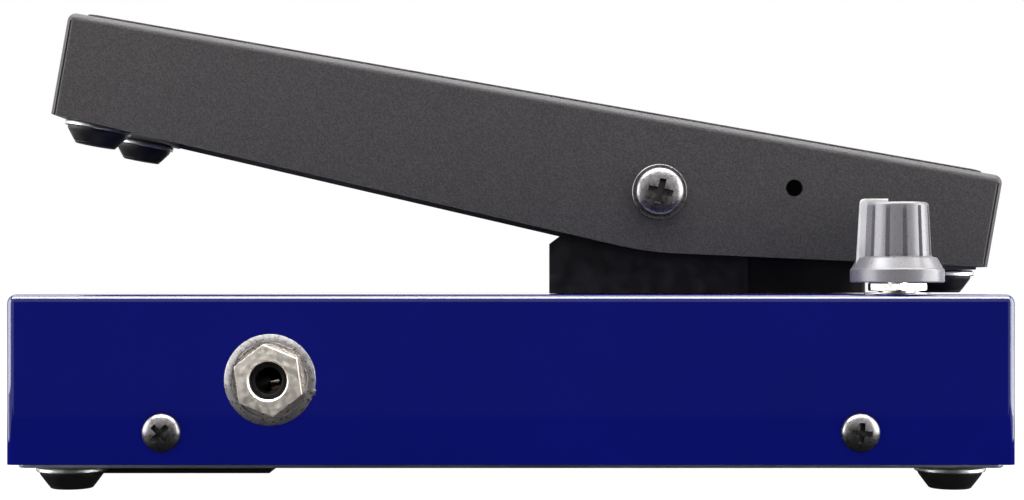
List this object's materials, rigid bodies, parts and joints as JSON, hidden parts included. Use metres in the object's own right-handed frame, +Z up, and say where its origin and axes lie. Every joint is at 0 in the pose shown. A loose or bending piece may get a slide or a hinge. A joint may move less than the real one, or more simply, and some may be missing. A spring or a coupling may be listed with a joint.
{
  "type": "volume pedal",
  "caption": "Treadle volume pedal: a rocking foot plate on a pedestal above a folded metal base, with side lead sockets and a level knob.",
  "frame": {"origin": "on the ground under the middle of the pedal's box, feet on z = 0", "axes": "+X towards the heel end, +Y away from the side with the output jack and level knob, +Z up"},
  "size_m": [0.2616, 0.1226, 0.1268],
  "materials": {
    "gloss_blue_paint": "high gloss stoved enamel",
    "powder_coat": "fine-textured matt powder coat",
    "satin_black_paint": "smooth satin",
    "grip_rubber": "matt with small raised grains",
    "bumper_rubber": "moulded, slightly shiny",
    "zinc_plate": "zinc plated, satin",
    "brushed_washer": "brushed in a circle",
    "polished_nickel": "polished",
    "dark_nickel": "dark nickel plate",
    "gear_brass": "cut brass",
    "black_plastic": "moulded",
    "nylon": "natural nylon",
    "board_laminate": "solder mask",
    "battery_case": "printed steel can, plain",
    "knob_grey": "satin moulded",
    "pointer_white": "satin moulded"
  },
  "bodies": {
    "base": {"base_shell": "gloss_blue_paint", "bottom_plate": "zinc_plate", "foot_toe_near_cup": "zinc_plate", "foot_toe_near_rubber": "bumper_rubber", "side_screw_toe_near": "dark_nickel", "foot_toe_far_cup": "zinc_plate", "foot_toe_far_rubber": "bumper_rubber", "side_screw_toe_far": "dark_nickel", "foot_heel_near_cup": "zinc_plate", "foot_heel_near_rubber": "bumper_rubber", "side_screw_heel_near": "dark_nickel", "foot_heel_far_cup": "zinc_plate", "foot_heel_far_rubber": "bumper_rubber", "side_screw_heel_far": "dark_nickel", "battery": "battery_case", "battery_clip": "black_plastic", "output_jack_body": "black_plastic", "output_jack_washer": "brushed_washer", "output_jack_nut": "polished_nickel", "input_jack_body": "black_plastic", "input_jack_washer": "brushed_washer", "input_jack_nut": "polished_nickel", "power_jack": "black_plastic", "circuit_board": "board_laminate", "pedestal_bracket": "satin_black_paint", "gear_cover": "satin_black_paint", "pedestal_screw_near": "zinc_plate", "pedestal_screw_far": "zinc_plate", "pivot_screw_near": "dark_nickel", "pivot_washer_near": "zinc_plate", "pivot_nut_near": "zinc_plate", "pivot_screw_far": "dark_nickel", "pivot_washer_far": "zinc_plate", "pivot_nut_far": "zinc_plate", "pot_bracket": "zinc_plate", "volume_pot": "zinc_plate", "volume_pot_nut": "polished_nickel", "level_pot": "zinc_plate", "level_pot_washer": "zinc_plate", "level_pot_nut": "polished_nickel"},
    "treadle": {"treadle_shell": "powder_coat", "grip_mat": "grip_rubber", "sector_gear": "gear_brass", "sector_screw_toe": "zinc_plate", "sector_screw_heel": "zinc_plate", "pivot_bush_near": "nylon", "pivot_bush_far": "nylon", "toe_bumper_near_cup": "zinc_plate", "toe_bumper_near_rubber": "bumper_rubber", "toe_bumper_far_cup": "zinc_plate", "toe_bumper_far_rubber": "bumper_rubber", "heel_bumper_near_cup": "zinc_plate", "heel_bumper_near_rubber": "bumper_rubber", "heel_bumper_far_cup": "zinc_plate", "heel_bumper_far_rubber": "bumper_rubber"},
    "volume_shaft": {"pinion": "gear_brass"},
    "level_control": {"level_pot_shaft": "polished_nickel", "knob": "knob_grey", "knob_pointer": "pointer_white"},
    "battery_cover": {"battery_door": "black_plastic"}
  },
  "joints": [
    {"name": "treadle_rock", "type": "hinge", "parent": "base", "child": "treadle", "pos_m": [0.03757, 0.01085, 0.078], "axis": [0, -1, 0], "range_deg": [0, 14.7]},
    {"name": "volume_shaft_turn", "type": "hinge", "parent": "base", "child": "volume_shaft", "pos_m": [0.03757, 0.01085, 0.028], "axis": [0, 1, 0], "range_deg": [0, 133]},
    {"name": "level_turn", "type": "hinge", "parent": "base", "child": "level_control", "pos_m": [0.09857, -0.04365, 0.06], "axis": [0, 0, 1], "range_deg": [-135, 135]},
    {"name": "battery_door_swing", "type": "hinge", "parent": "base", "child": "battery_cover", "pos_m": [-0.11623, -0.0175, 0.0044], "axis": [0, 1, 0], "range_deg": [0, 95]}
  ],
  "couplings": [
    {"joint": "volume_shaft_turn", "follows": "treadle_rock", "ratio": 9}
  ]
}
